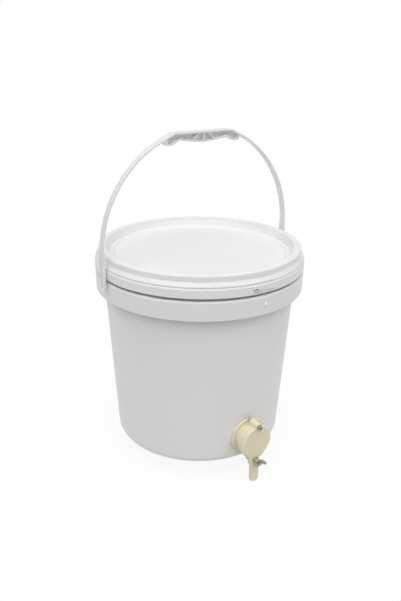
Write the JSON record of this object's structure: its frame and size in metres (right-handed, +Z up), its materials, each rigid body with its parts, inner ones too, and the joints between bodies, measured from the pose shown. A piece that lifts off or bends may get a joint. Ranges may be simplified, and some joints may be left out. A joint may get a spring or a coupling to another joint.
{
  "type": "honey settling bucket",
  "caption": "White plastic settling bucket with a lift-off tear-band lid, a swinging bail and a cream swing-shutter honey gate low on the wall, clamped by a wing nut",
  "frame": {"origin": "centre of the flat underside of the pail, on the plane it stands on", "axes": "+Z up; the honey gate faces -Y; the bail's pivots lie on +X and -X, so the bail at rest stands in the XZ plane"},
  "size_m": [0.3342, 0.3369, 0.512],
  "materials": {
    "pail_white": "satin moulded",
    "lid_white": "satin moulded",
    "bail_white": "satin moulded",
    "gate_cream": "satin moulded",
    "seal_rubber": "soft matt",
    "fastener_steel": "bright, lightly brushed"
  },
  "bodies": {
    "bucket": {"bucket_shell": "pail_white", "gate_body": "gate_cream", "gate_locknut": "gate_cream", "outer_gasket": "seal_rubber", "inner_gasket": "seal_rubber", "pivot_screw": "fastener_steel", "pivot_washer": "fastener_steel", "pivot_nut": "fastener_steel", "clamp_screw": "fastener_steel", "clamp_washer": "fastener_steel"},
    "lid_body": {"lid": "lid_white", "lid_seal": "seal_rubber"},
    "bail": {"bail_handle": "bail_white"},
    "shutter": {"gate_shutter": "gate_cream"},
    "wing": {"wing_nut": "fastener_steel"}
  },
  "joints": [
    {"name": "bail_swing", "type": "hinge", "parent": "bucket", "child": "bail", "pos_m": [0, 0, 0.2743], "axis": [1, 0, 0], "range_deg": [-130, 130]},
    {"name": "lid_lift", "type": "slide", "parent": "bucket", "child": "lid_body", "axis": [0, 0, 1], "range_m": [0, 0.045]},
    {"name": "gate_swing", "type": "hinge", "parent": "bucket", "child": "shutter", "pos_m": [0, -0.1351, 0.07204], "axis": [0, 0.9981, 0.0611], "range_deg": [0, 118]},
    {"name": "wing_nut_turn", "type": "hinge", "parent": "bucket", "child": "wing", "pos_m": [0, -0.13138, 0.01116], "axis": [0, -0.9981, -0.0611], "continuous": true}
  ]
}
